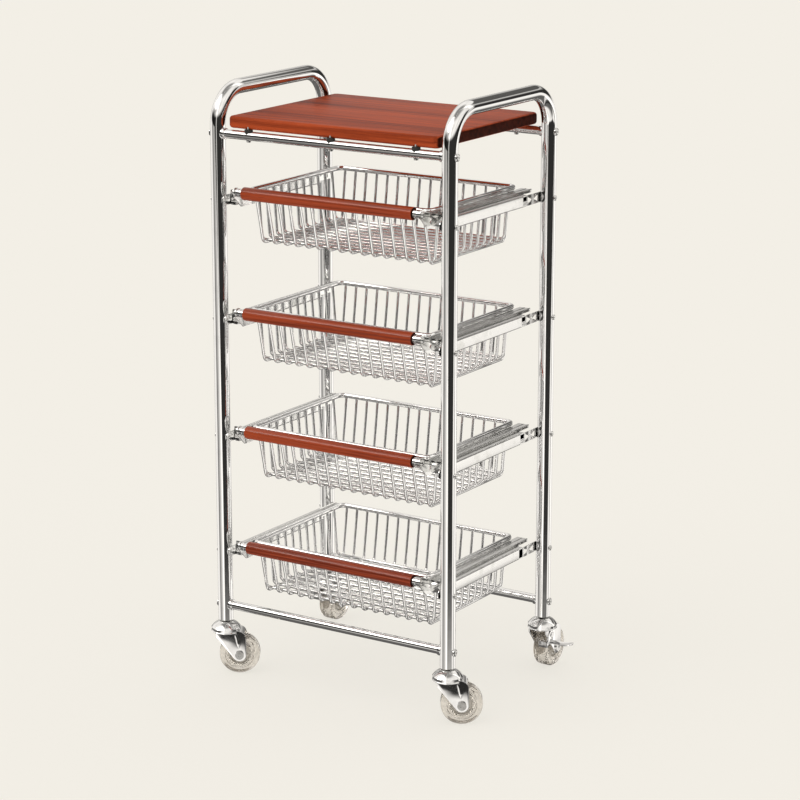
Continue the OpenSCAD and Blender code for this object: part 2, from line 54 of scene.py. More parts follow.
class Tone:
    """A number on its way through a node tree. Arithmetic on it adds Math nodes."""

    def __init__(self, tree, socket=None):
        self.tree = tree
        self.socket = socket

    def node(self, kind, settings, sockets, out=0):
        """Adds any node: its settings first, then values or links for its sockets."""
        made = self.tree.nodes.new("ShaderNode" + kind)
        for name, value in settings.items():
            if name == "stops":
                ramp = made.color_ramp
                while len(ramp.elements) < len(value):
                    ramp.elements.new(0.5)
                for element, (place, colour) in zip(ramp.elements, value):
                    element.position = place
                    element.color = (*colour, 1)
            else:
                setattr(made, name, value)
        for name, value in sockets.items():
            if isinstance(value, Tone):
                self.tree.links.new(value.socket, made.inputs[name])
            else:
                made.inputs[name].default_value = value
        return Tone(self.tree, made.outputs[out]) if made.outputs else None

    def maths(self, operation, first, second=0.0):
        return self.node("Math", {"operation": operation}, {0: first, 1: second})

    def __add__(self, other):
        return self.maths("ADD", self, other)

    __radd__ = __add__

    def __mul__(self, other):
        return self.maths("MULTIPLY", self, other)

    __rmul__ = __mul__

    def __sub__(self, other):
        return self.maths("SUBTRACT", self, other)

    def __rsub__(self, other):
        return self.maths("SUBTRACT", other, self)

    def __truediv__(self, other):
        return self.maths("DIVIDE", self, other)

    def size(self):
        return self.maths("ABSOLUTE", self)

    def rise(self, low, high):
        """0 below low, 1 above high, and a smooth step between them."""
        return self.node("MapRange", {"interpolation_type": "SMOOTHSTEP"}, {0: self, 1: low, 2: high})

    def mix(self, first, second):
        """Two colours, mixed by this number."""
        return self.node("Mix", {"data_type": "RGBA"}, {0: self, 6: first, 7: second}, out=2)


def rgb(red, green, blue):
    return (red, green, blue, 1.0)


def band(angle, middle, half_width, soft):
    """1 within half_width of the middle, falling to 0 over a soft edge."""
    off = (angle - middle).size()
    return 1.0 - off.rise(half_width, half_width + soft)


def studio_world():
    cloth = rgb(1.0, 0.965, 0.915)
    backdrop = rgb(0.896, 0.863, 0.791)
    world = bpy.data.worlds.new("light_tent")
    world.use_nodes = True
    tree = world.node_tree
    tree.nodes.clear()
    tent = Tone(tree)
    way = tent.node("TexCoord", {}, {})
    apart = way.node("SeparateXYZ", {}, {0: way})
    x, y, z = (Tone(tree, apart.socket.node.outputs[i]) for i in range(3))
    turn = x.node("Math", {"operation": "ARCTAN2"}, {0: y, 1: x})
    climb = x.node("Math", {"operation": "ARCSINE"}, {0: z})
    # The dark side of the room lies in front, low down, and widens as it rises. Angles in radians.
    widen = 0.60 + 1.9 * climb.rise(-0.30, 0.12)
    front = (1.0 - ((turn + 0.55).size() / widen).rise(0.85, 1.15)) * climb.rise(-0.42, -0.30)
    front = front * (1.0 - climb.rise(0.20, 0.42))
    above = band(turn, 1.50, 0.30, 0.35) * band(climb, 0.50, 0.08, 0.09)
    behind = band(turn, 2.15, 0.40, 0.35) * band(climb, 0.25, 0.14, 0.15)
    left = band(turn, -2.35, 0.16, 0.12) * band(climb, 0.05, 0.35, 0.15)
    line = band(turn, -1.95, 0.12, 0.06)
    other = band(turn, 0.62, 0.07, 0.05) * (1.0 - climb.rise(0.3, 0.5))
    zenith = climb.rise(0.95, 1.25)
    strip = band(turn, -1.35, 0.05, 0.05) + band(turn, 0.88, 0.05, 0.05)
    lamp = band(turn, -2.30, 0.25, 0.2) * band(climb, 0.67, 0.06, 0.08)
    rear = band(turn, 2.25, 0.32, 0.15) * band(climb, -0.22, 0.16, 0.08)
    floor_side = (1.0 - climb.rise(-0.48, -0.32)) * (turn + 1.0).size().rise(0.55, 1.15)
    cloud = tent.node("TexNoise", {}, {"Vector": way, "Scale": 2.6, "Detail": 2.0})
    level = (1.0 - 0.97 * front) * (1.0 - 0.9 * above) * (1.0 - 0.75 * left) * (1.0 - 0.55 * line)
    level = level * (1.0 - 0.7 * other) * (1.0 - 0.30 * behind) * (1.0 - 0.86 * floor_side)
    level = level * (1.0 - 0.9 * rear) * (1.0 - 0.7 * zenith)
    level = level * (0.50 + 0.70 * cloud) + 0.6 * strip + 3.5 * lamp
    rays = tent.node("LightPath", {}, {})
    glossy = Tone(tree, rays.socket.node.outputs["Is Glossy Ray"])
    strength = glossy * level * 1.15 + (1.0 - glossy)
    light = tent.node("Background", {}, {"Color": glossy.mix(backdrop, cloth), "Strength": strength})
    tent.node("OutputWorld", {}, {"Surface": light})
    bpy.context.scene.world = world


studio_world()

table = bpy.data.meshes.new("table_top")
reach = 30.0
square = [(-reach, -reach, 0), (reach, -reach, 0), (reach, reach, 0), (-reach, reach, 0)]
table.from_pydata(square, [], [(0, 1, 2, 3)])
floor = bpy.data.objects.new("table_top", table)
bpy.context.scene.collection.objects.link(floor)
floor.visible_glossy = False
paper = bpy.data.materials.new("pale_paper")
paper.use_nodes = True
sheet = paper.node_tree.nodes["Principled BSDF"]
for socket, value in (
    ("Base Color", rgb(0.20, 0.195, 0.19)), ("Roughness", 1.0), ("Specular IOR Level", 0.0),
    ("Emission Color", rgb(0.697, 0.676, 0.623)), ("Emission Strength", 1.0),
):
    sheet.inputs[socket].default_value = value
floor.data.materials.append(paper)

key_data = bpy.data.lights.new("soft_key", "SUN")
key_data.energy = 0.4
key_data.angle = 0.7
key_data.color = (1.0, 0.97, 0.93)
key = bpy.data.objects.new("soft_key", key_data)
key.rotation_euler = (math.radians(38), 0, math.radians(-28))
bpy.context.scene.collection.objects.link(key)

eye_data = bpy.data.cameras.new("view")
eye_data.lens = 122.76
eye = bpy.data.objects.new("view", eye_data)
eye.location = (2.1100, -3.2388, 1.4136)
eye.rotation_euler = (math.radians(75.486), 0, math.radians(32.856))
bpy.context.scene.collection.objects.link(eye)
bpy.context.scene.camera = eye
bpy.context.scene.view_settings.view_transform = "Standard"


# ---- Side frames ----
# Two upside-down U shapes of 22 mm steel tube, bent cold, polished along their length and
# chromed. Their open ends stand on the casters' plugs.

def rounded(points, radius, steps, closed=False):
    """A path through the points, with an arc at each corner."""
    path = []
    count = len(points)
    for i, corner in enumerate(points):
        if not closed and i in (0, count - 1):
            path.append(Vector(corner))
            continue
        corner = Vector(corner)
        back = (Vector(points[i - 1]) - corner).normalized()
        ahead = (Vector(points[(i + 1) % count]) - corner).normalized()
        half = back.angle(ahead) / 2
        centre = corner + (back + ahead).normalized() * radius / math.sin(half)
        start = corner + back * radius / math.tan(half)
        arm = start - centre
        axis = back.cross(ahead).normalized()
        sweep_angle = math.pi - 2 * half
        for step in range(steps + 1):
            turned = Matrix.Rotation(-sweep_angle * step / steps, 3, axis) @ arm
            path.append(centre + turned)
    return path


def add_tube(mesh, path, radius, sides, flat_normal, closed=False):
    """Adds a round bar along a path that lies in a plane."""
    count = len(path)
    across = Vector(flat_normal).normalized()
    rings = []
    for i, point in enumerate(path):
        before = path[i - 1] if i or closed else point
        after = path[(i + 1) % count] if i < count - 1 or closed else point
        ahead = (after - before).normalized()
        out = ahead.cross(across)
        ring = []
        for side in range(sides):
            angle = 2 * math.pi * side / sides
            ring.append(mesh.verts.new(point + radius * (math.cos(angle) * out + math.sin(angle) * across)))
        rings.append(ring)
    for i in range(count if closed else count - 1):
        first, second = rings[i], rings[(i + 1) % count]
        for side in range(sides):
            other = (side + 1) % sides
            mesh.faces.new((first[side], first[other], second[other], second[side]))
    if not closed:
        mesh.faces.new(rings[0][::-1])
        mesh.faces.new(rings[-1])


def piece(name, mesh, material, body, slot, *nodes, smooth=0.6):
    """Turns a mesh into a finished piece: its object, its material and its body. The slot is not used."""
    bmesh.ops.recalc_face_normals(mesh, faces=mesh.faces)
    data = bpy.data.meshes.new(name)
    mesh.to_mesh(data)
    mesh.free()
    made = bpy.data.objects.new(name, data)
    bpy.context.scene.collection.objects.link(made)
    data.materials.append(material)
    data.shade_smooth()
    data.set_sharp_from_angle(angle=smooth)
    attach(made, body)
    if nodes:
        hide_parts(*nodes)
    return made


def new_finish(name):
    material = bpy.data.materials.new(name)
    material.use_nodes = True
    material.node_tree.nodes.clear()
    return material, Tone(material.node_tree)


def chrome(name, tint, rough, grain_way, haze=0.05):
    """Bright chrome over steel polished along grain_way: fine lines, and faint haze from hands."""
    material, coat = new_finish(name)
    place = coat.node("TexCoord", {}, {}, out="Object")
    along = [14.0 if grain_way == axis else 900.0 for axis in "xyz"]
    lined = coat.node("Mapping", {}, {0: place, "Scale": along})
    lines = coat.node("TexNoise", {}, {"Vector": lined, "Scale": 1.0, "Detail": 3.0})
    smudge = coat.node("TexNoise", {}, {"Vector": place, "Scale": 28.0, "Detail": 4.0, "Distortion": 0.6})
    worn = smudge.rise(0.52, 0.72)
    roughness = rough + 0.035 * lines + haze * worn
    dull = tuple(0.93 * part for part in tint)
    colour = worn.mix(rgb(*tint), rgb(*dull))
    ripple = coat.node("TexNoise", {}, {"Vector": place, "Scale": 55.0, "Detail": 1.0})
    bump = coat.node("Bump", {}, {"Strength": 0.05, "Distance": 0.0004, "Height": ripple + 0.08 * lines})
    skin = coat.node("BsdfPrincipled", {}, {
        "Base Color": colour, "Metallic": 1.0, "Roughness": roughness, "Normal": bump,
    })
    coat.node("OutputMaterial", {}, {"Surface": skin})
    return material


tube_chrome = chrome("tube_chrome", (0.90, 0.90, 0.90), 0.03, "z")
bar_chrome = chrome("bar_chrome", (0.90, 0.90, 0.90), 0.03, "x")
tube_r = 0.011
bend_r = 0.051
for side in ("left", "right"):
    low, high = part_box("side_frame_" + side)
    x = (low.x + high.x) / 2
    front, rear = low.y + tube_r, high.y - tube_r
    top = high.z - tube_r
    mesh = bmesh.new()
    bends = rounded([(x, front, low.z), (x, front, top), (x, rear, top), (x, rear, low.z)], bend_r, 28)
    add_tube(mesh, bends, tube_r, 56, (1, 0, 0))
    piece("side_tube_" + side, mesh, tube_chrome, "frame", "tube", "side_frame_" + side)
    post_x = abs(x)
post_front, post_rear = front, rear


# ---- Cross bars ----
# Four straight tubes hold the sides apart. Each end has a plated collar against the post, and a
# domed screw goes through the post into the bar.

def add_lathe(mesh, profile, steps, place):
    """Adds a turned shape. The profile's points are (distance from the axis, place along it)."""
    rings = []
    for radius, along in profile:
        if radius < 1e-7:
            rings.append([mesh.verts.new(place @ Vector((0, 0, along)))])
            continue
        turns = [2 * math.pi * step / steps for step in range(steps)]
        rings.append([
            mesh.verts.new(place @ Vector((radius * math.cos(turn), radius * math.sin(turn), along)))
            for turn in turns
        ])
    for first, second in zip(rings, rings[1:]):
        for step in range(steps):
            other = (step + 1) % steps
            corners_of = [first[step % len(first)], first[other % len(first)]]
            corners_of += [second[other % len(second)], second[step % len(second)]]
            unique = list(dict.fromkeys(corners_of))
            if len(unique) > 2:
                mesh.faces.new(unique)


def facing(way, at):
    """A place whose Z axis points along way."""
    return Matrix.Translation(Vector(at)) @ Vector(way).to_track_quat("Z", "Y").to_matrix().to_4x4()


def add_screw_head(mesh, way, at, radius, height, socket=0.42):
    """Adds a domed head with a six-sided key socket, standing on a surface at a point."""
    place = facing(way, at)
    dome = [(radius * math.cos(a), height * math.sin(a)) for a in (0, 0.25, 0.5, 0.75, 1.0, 1.2)]
    rim_height = dome[-1][1]
    hole = radius * socket
    add_lathe(mesh, [(radius * 0.96, -0.0002)] + dome + [(hole * 1.12, rim_height * 1.02)], 28, place)
    # The socket is a six-sided cup inside the dome's opening.
    floor_height = rim_height * 0.3
    around = [(hole * 1.12, rim_height * 1.02), (hole, rim_height * 0.98)]
    around += [(hole, floor_height), (0, floor_height)]
    add_lathe(mesh, around[:2], 28, place)
    add_lathe(mesh, around[1:], 6, place)


def collar_profile(radius, wall, length):
    """A short sleeve with eased edges, as a closed outline of a turned shape."""
    ease = 0.0006
    outer = radius + wall
    return [
        (radius, 0), (outer - ease, 0), (outer - 0.3 * ease, 0.3 * ease), (outer, ease),
        (outer, length - ease), (outer - 0.3 * ease, length - 0.3 * ease), (outer - ease, length),
        (radius, length),
    ]


bar_r = 0.0065
end_gap = 0.0014
for height in ("top", "bottom"):
    for end in ("front", "rear"):
        node = f"crossbar_{height}_{end}"
        low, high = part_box(node)
        middle = (low + high) / 2
        mesh = bmesh.new()
        ends = [Vector((x, middle.y, middle.z)) for x in (low.x + end_gap, high.x - end_gap)]
        add_tube(mesh, ends, bar_r, 40, (0, 1, 0))
        piece(node + "_bar", mesh, bar_chrome, "frame", "tube", node)

low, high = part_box("bar_collars")
collar_y = [post_front, post_rear]
collar_z = [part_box(f"crossbar_{height}_front")[0].z + bar_r for height in ("bottom", "top")]
collar_length = 0.0062
collar_wall = 0.0015
mesh = bmesh.new()
for z in collar_z:
    for y in collar_y:
        for way, x in ((1, low.x), (-1, high.x)):
            sleeve = collar_profile(bar_r, collar_wall, collar_length)
            add_lathe(mesh, sleeve, 36, facing((way, 0, 0), (x, y, z)))
piece("plated_collars", mesh, bar_chrome, "frame", "tube", "bar_collars")

zinc_finish, zinc = new_finish("bright_zinc")
place = zinc.node("TexCoord", {}, {}, out="Object")
mottle = zinc.node("TexNoise", {}, {"Vector": place, "Scale": 420.0, "Detail": 3.0})
grime = zinc.node("TexNoise", {}, {"Vector": place, "Scale": 90.0, "Detail": 2.0})
skin = zinc.node("BsdfPrincipled", {}, {
    "Base Color": grime.rise(0.45, 0.75).mix(rgb(0.80, 0.80, 0.79), rgb(0.62, 0.61, 0.59)),
    "Metallic": 1.0,
    "Roughness": 0.13 + 0.12 * mottle,
    "Normal": zinc.node("Bump", {}, {"Strength": 0.12, "Distance": 0.0002, "Height": mottle}),
})
zinc.node("OutputMaterial", {}, {"Surface": skin})


def refinish(node, material):
    """Gives a node of the bought-in metalwork its finish."""
    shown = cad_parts[node]
    for place in shown.material_slots:
        place.material = material


for node in ("bar_screws", "worktop_screws", "rail_screws", "caster_stems"):
    refinish(node, zinc_finish)


# ---- Worktop ----
# A reddish-stained, lacquered board. Its grain runs from side to side, its edges are eased, and
# its short sides show darker end grain, which drinks more of the stain.

def wood(name, grain_scale, light, dark, end, gloss):
    """Stained wood with its grain along X, under a satin lacquer."""
    material, board = new_finish(name)
    place = board.node("TexCoord", {}, {}, out="Object")
    stretched = board.node("Mapping", {}, {0: place, "Scale": (2.2, 26.0, 26.0)})
    bow = board.node("TexNoise", {}, {"Vector": stretched, "Scale": 0.55 * grain_scale, "Detail": 4.0})
    streaks = board.node("Mapping", {}, {0: place, "Scale": (4.0, 210.0, 210.0)})
    streak = board.node("TexNoise", {}, {
        "Vector": streaks, "Scale": grain_scale, "Detail": 5.0, "Roughness": 0.6,
    })
    pores = board.node("Mapping", {}, {0: place, "Scale": (60.0, 1500.0, 1500.0)})
    pore = board.node("TexNoise", {}, {"Vector": pores, "Scale": 1.0, "Detail": 1.0})
    between = tuple(0.45 * a + 0.55 * b for a, b in zip(light, dark))
    bright = tuple(1.2 * part for part in light)
    stain = board.node("ValToRGB", {
        "stops": [(0.36, dark), (0.45, between), (0.54, light), (0.70, bright)],
    }, {0: 0.42 * bow + 0.58 * streak})
    pitted = (1.0 - pore.rise(0.30, 0.42)) * 0.35
    grained = pitted.mix(stain, rgb(*dark))
    face = board.node("NewGeometry", {}, {}, out="Normal")
    parts = face.node("SeparateXYZ", {}, {0: face})
    cut = parts.size().rise(0.55, 0.85)
    rings = board.node("TexNoise", {}, {"Vector": place, "Scale": 190.0, "Detail": 4.0})
    end_grain = rings.rise(0.35, 0.7).mix(rgb(*end), rgb(*(0.45 * part for part in end)))
    colour = cut.mix(grained, end_grain)
    bump = board.node("Bump", {}, {
        "Strength": 0.14, "Distance": 0.0003, "Height": 0.7 * streak - 0.5 * pitted,
    })
    skin = board.node("BsdfPrincipled", {}, {
        "Base Color": colour, "Roughness": 0.36 + 0.12 * streak + 0.15 * cut, "Normal": bump,
        "Coat Weight": gloss - gloss * cut, "Coat Roughness": 0.16, "Specular IOR Level": 0.05,
    })
    board.node("OutputMaterial", {}, {"Surface": skin})
    return material


def add_plate(mesh, outline, low, high, ease, steps=4):
    """Adds a flat board of an outline, counted anticlockwise, with eased edges."""
    rings = []
    levels_of = []
    for step in range(steps + 1):
        turn = math.pi / 2 * step / steps
        levels_of.append((ease * (1 - math.sin(turn)), low + ease * (1 - math.cos(turn))))
    for step in range(steps + 1):
        turn = math.pi / 2 * step / steps
        levels_of.append((ease * (1 - math.cos(turn)), high - ease * (1 - math.sin(turn))))
    count = len(outline)
    for inset, z in levels_of:
        ring = []
        for i, point in enumerate(outline):
            before = (Vector(point) - Vector(outline[i - 1])).normalized()
            after = (Vector(outline[(i + 1) % count]) - Vector(point)).normalized()
            side_way = (before + after).normalized()
            inward = Vector((-side_way.y, side_way.x))
            moved = Vector(point) + inset * inward
            ring.append(mesh.verts.new((moved.x, moved.y, z)))
        rings.append(ring)
    for first, second in zip(rings, rings[1:]):
        for i in range(count):
            mesh.faces.new((first[i], first[(i + 1) % count], second[(i + 1) % count], second[i]))
    mesh.faces.new(rings[0][::-1])
    mesh.faces.new(rings[-1])


board_wood = wood(
    "stained_board", grain_scale=1.0, light=(0.42, 0.068, 0.020), dark=(0.13, 0.017, 0.006),
    end=(0.050, 0.008, 0.003), gloss=0.02,
)
low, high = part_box("worktop")
corner_r = 0.009
board_ease = 0.0045
mesh = bmesh.new()
square = [(low.x, low.y, 0), (high.x, low.y, 0), (high.x, high.y, 0), (low.x, high.y, 0)]
shape = rounded(square, corner_r, 8, True)
add_plate(mesh, [(point.x, point.y) for point in shape], low.z, high.z, board_ease, 7)
piece("stained_worktop", mesh, board_wood, "frame", "board", "worktop")

felt_finish, felt = new_finish("black_pads")
place = felt.node("TexCoord", {}, {}, out="Object")
nap = felt.node("TexNoise", {}, {"Vector": place, "Scale": 900.0, "Detail": 2.0})
skin = felt.node("BsdfPrincipled", {}, {
    "Base Color": nap.mix(rgb(0.012, 0.012, 0.012), rgb(0.035, 0.033, 0.031)), "Roughness": 0.6 + 0.3 * nap,
    "Normal": felt.node("Bump", {}, {"Strength": 0.3, "Distance": 0.0003, "Height": nap}),
})
felt.node("OutputMaterial", {}, {"Surface": skin})
refinish("worktop_pads", felt_finish)


# ---- Baskets ----
# Each basket is spot-welded from round wire: a thick rim, sixteen wires bent from front to back,
# and eleven bent from side to side that lie on them. Flattened beads of weld join every crossing.

wire_chrome = chrome("wire_chrome", (0.95, 0.95, 0.95), 0.05, "y")
rim_r = 0.0037
wire_r = 0.0022
rim_bend = 0.010
long_bend = 0.009
cross_bend = 0.007
long_count = 16
cross_count = 11
floor_drop = 0.0774
cross_drop = 0.0734
floor_front = 0.018
floor_rear = 0.011
cross_inset = 0.0055
rim_gap = 0.0006          # between a bend of the rim and the first wire
cross_start = 0.022       # the first and the last side-to-side wire, from front and rear rim
cross_end = 0.021
weld_drop = 0.0024        # the beads on the rim, under its axis


def add_weld(mesh, at, size):
    """Adds a small flattened bead of melted metal where two wires cross."""
    made = bmesh.ops.create_icosphere(mesh, subdivisions=1, radius=1.0)
    bmesh.ops.scale(mesh, verts=made["verts"], vec=Vector(size))
    bmesh.ops.translate(mesh, verts=made["verts"], vec=Vector(at))


for level in levels:
    low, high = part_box(f"basket_{level}")
    left, right = low.x + rim_r, high.x - rim_r
    front, rear = low.y + rim_r, high.y - rim_r
    rim_z = high.z - rim_r
    mesh = bmesh.new()
    square = [(left, front, rim_z), (right, front, rim_z), (right, rear, rim_z), (left, rear, rim_z)]
    add_tube(mesh, rounded(square, rim_bend, 10, True), rim_r, 20, (0, 0, 1), True)
    span = right - left - 2 * (rim_bend + rim_gap)
    long_x = [left + rim_bend + rim_gap + span * i / (long_count - 1) for i in range(long_count)]
    floor_z = rim_z - floor_drop
    for x in long_x:
        turns = [(x, front, rim_z), (x, front + floor_front, floor_z)]
        turns += [(x, rear - floor_rear, floor_z), (x, rear, rim_z)]
        add_tube(mesh, rounded(turns, long_bend, 8), wire_r, 12, (1, 0, 0))
    cross_z = rim_z - cross_drop
    run = rear - front - cross_start - cross_end
    cross_y = [front + cross_start + run * i / (cross_count - 1) for i in range(cross_count)]
    for y in cross_y:
        turns = [(left, y, rim_z), (left + cross_inset, y, cross_z)]
        turns += [(right - cross_inset, y, cross_z), (right, y, rim_z)]
        add_tube(mesh, rounded(turns, cross_bend, 8), wire_r, 12, (0, 1, 0))
    for x in long_x:
        for y in cross_y:
            add_weld(mesh, (x, y, (floor_z + cross_z) / 2), (0.0021, 0.0021, 0.0013))
        add_weld(mesh, (x, front + 0.0004, rim_z - weld_drop), (0.0022, 0.0018, 0.0016))
        add_weld(mesh, (x, rear - 0.0004, rim_z - weld_drop), (0.0022, 0.0018, 0.0016))
    for y in cross_y:
        add_weld(mesh, (left + 0.0003, y, rim_z - weld_drop), (0.0018, 0.0022, 0.0016))
        add_weld(mesh, (right - 0.0003, y, rim_z - weld_drop), (0.0018, 0.0022, 0.0016))
    piece(f"wire_basket_{level}", mesh, wire_chrome, f"drawer_{level}", "wire", f"basket_{level}")


# ---- Handles ----
# A turned dowel of the same stained wood runs across the front of each basket. Each end sits
# against a plated ferrule, and a bolt through the runner's bracket holds both.

dowel_wood = wood(
    "stained_dowel", grain_scale=1.6, light=(0.35, 0.054, 0.016), dark=(0.13, 0.017, 0.006),
    end=(0.035, 0.006, 0.003), gloss=0.6,
)
handle_ease = 0.0018
for level in levels:
    low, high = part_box(f"handle_{level}")
    radius = (high.z - low.z) / 2
    middle = (low + high) / 2
    length = high.x - low.x
    mesh = bmesh.new()
    turns = (0, 0.4, 0.8, 1.2, math.pi / 2)
    soft = [(handle_ease * (1 - math.sin(turn)), handle_ease * (1 - math.cos(turn))) for turn in turns]
    profile = [(0.0, 0.0)] + [(radius - inset, along) for inset, along in soft]
    profile += [(radius, length * i / 12) for i in range(1, 12)]
    profile += [(radius - inset, length - along) for inset, along in reversed(soft)] + [(0.0, length)]
    add_lathe(mesh, profile, 48, facing((1, 0, 0), (low.x, middle.y, middle.z)))
    piece(f"dowel_{level}", mesh, dowel_wood, f"drawer_{level}", "dowel", f"handle_{level}")
    rest_low, rest_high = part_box(f"ferrules_{level}")
    barrel_r = (rest_high.z - rest_low.z) / 2
    barrel = low.x - rest_low.x
    mesh = bmesh.new()
    for way, x in ((1, rest_low.x), (-1, rest_high.x)):
        groove = barrel * 0.58
        outline = [
            (0, 0), (barrel_r - 0.0007, 0), (barrel_r - 0.0002, 0.0003), (barrel_r, 0.0009),
            (barrel_r, groove - 0.0006), (barrel_r - 0.0005, groove - 0.0002),
            (barrel_r - 0.0005, groove + 0.0002), (barrel_r, groove + 0.0006),
            (barrel_r, barrel - 0.0008), (barrel_r - 0.0006, barrel - 0.0001), (0, barrel - 0.0001),
        ]
        add_lathe(mesh, outline, 40, facing((way, 0, 0), (x, middle.y, middle.z)))
    piece(f"plated_ferrules_{level}", mesh, bar_chrome, f"drawer_{level}", "fastener", f"ferrules_{level}")
    refinish(f"handle_bolts_{level}", zinc_finish)


# ---- Slides ----
# Pressed steel channels, bright plated: the outer one is screwed to the posts, and the inner one
# carries the basket's rim and ends at the front in the handle's bracket.

slide_finish, plated = new_finish("plated_slide")
place = plated.node("TexCoord", {}, {}, out="Object")
rolled = plated.node("Mapping", {}, {0: place, "Scale": (700.0, 9.0, 700.0)})
drawn = plated.node("TexNoise", {}, {"Vector": rolled, "Scale": 1.0, "Detail": 3.0})
rub = plated.node("TexNoise", {}, {"Vector": place, "Scale": 46.0, "Detail": 4.0})
skin = plated.node("BsdfPrincipled", {}, {
    "Base Color": rub.rise(0.5, 0.75).mix(rgb(0.84, 0.84, 0.83), rgb(0.72, 0.72, 0.70)),
    "Metallic": 1.0,
    "Roughness": 0.07 + 0.09 * drawn + 0.06 * rub,
    "Normal": plated.node("Bump", {}, {"Strength": 0.06, "Distance": 0.0003, "Height": drawn}),
})
plated.node("OutputMaterial", {}, {"Surface": skin})


def arc_of(centre, radius, first, last, steps=18):
    """Points along an arc, with its angles in degrees."""
    turns = [math.radians(first + (last - first) * i / steps) for i in range(steps + 1)]
    return [(centre[0] + radius * math.cos(turn), centre[1] + radius * math.sin(turn)) for turn in turns]


def add_ridge(mesh, start, end, half_width, height, out):
    """Adds a half-round ridge pressed out of a sheet along a line, fading at both ends."""
    across = (end - start).normalized().cross(out)
    rings = []
    stations = 12
    for i in range(stations + 1):
        share = i / stations
        fade = max(0.05, min(1.0, 4 * share, 4 * (1 - share)) ** 0.5)
        ring = []
        for side in range(9):
            turn = math.pi * side / 8
            place = start + (end - start) * share + across * half_width * fade * math.cos(turn)
            ring.append(mesh.verts.new(place + out * (height * fade * math.sin(turn) - 0.0002)))
        rings.append(ring)
    for first, second in zip(rings, rings[1:]):
        for side in range(8):
            mesh.faces.new((first[side], first[side + 1], second[side + 1], second[side]))


def add_channel(mesh, path, thickness, low_y, high_y, side_way):
    """Adds a rolled channel: a path in X and Z with its bends, given a thickness, along Y."""
    count = len(path)
    outer, inner = [], []
    for i, point in enumerate(path):
        before = path[i - 1] if i else point
        after = path[i + 1] if i < count - 1 else point
        ahead = (after - before).normalized()
        across = Vector((-ahead.z, 0, ahead.x)) * thickness / 2
        outer.append(point + across)
        inner.append(point - across)
    ring = outer + inner[::-1]
    rows = []
    for y in (low_y, high_y):
        rows.append([mesh.verts.new((side_way * point.x, y, point.z)) for point in ring])
    for i in range(len(ring)):
        other = (i + 1) % len(ring)
        mesh.faces.new((rows[0][i], rows[0][other], rows[1][other], rows[1][i]))
    for row in rows:
        for i in range(count - 1):
            mesh.faces.new((row[i], row[i + 1], row[-i - 2], row[-i - 1]))


def add_pierced(mesh, outline, holes, low_x, high_x, side_way):
    """Adds a flat sheet that stands along Y and Z, with holes through it."""
    for x in (low_x, high_x):
        edges = []
        for loop in [outline] + holes:
            ring = [mesh.verts.new((side_way * x, y, z)) for y, z in loop]
            edges += [mesh.edges.new((ring[i - 1], ring[i])) for i in range(len(ring))]
        bmesh.ops.triangle_fill(mesh, edges=edges, use_beauty=True, use_dissolve=False)
    for loop in [outline] + holes:
        rows = [[mesh.verts.new((side_way * x, y, z)) for y, z in loop] for x in (low_x, high_x)]
        for i in range(len(loop)):
            mesh.faces.new((rows[0][i - 1], rows[0][i], rows[1][i], rows[1][i - 1]))
    bmesh.ops.remove_doubles(mesh, verts=mesh.verts, dist=1e-6)


def rounded_hole(points, radius):
    """A hole through sheet with rounded corners, from its corner points in Y and Z."""
    return [(point.x, point.y) for point in rounded([(y, z, 0) for y, z in points], radius, 3, True)]


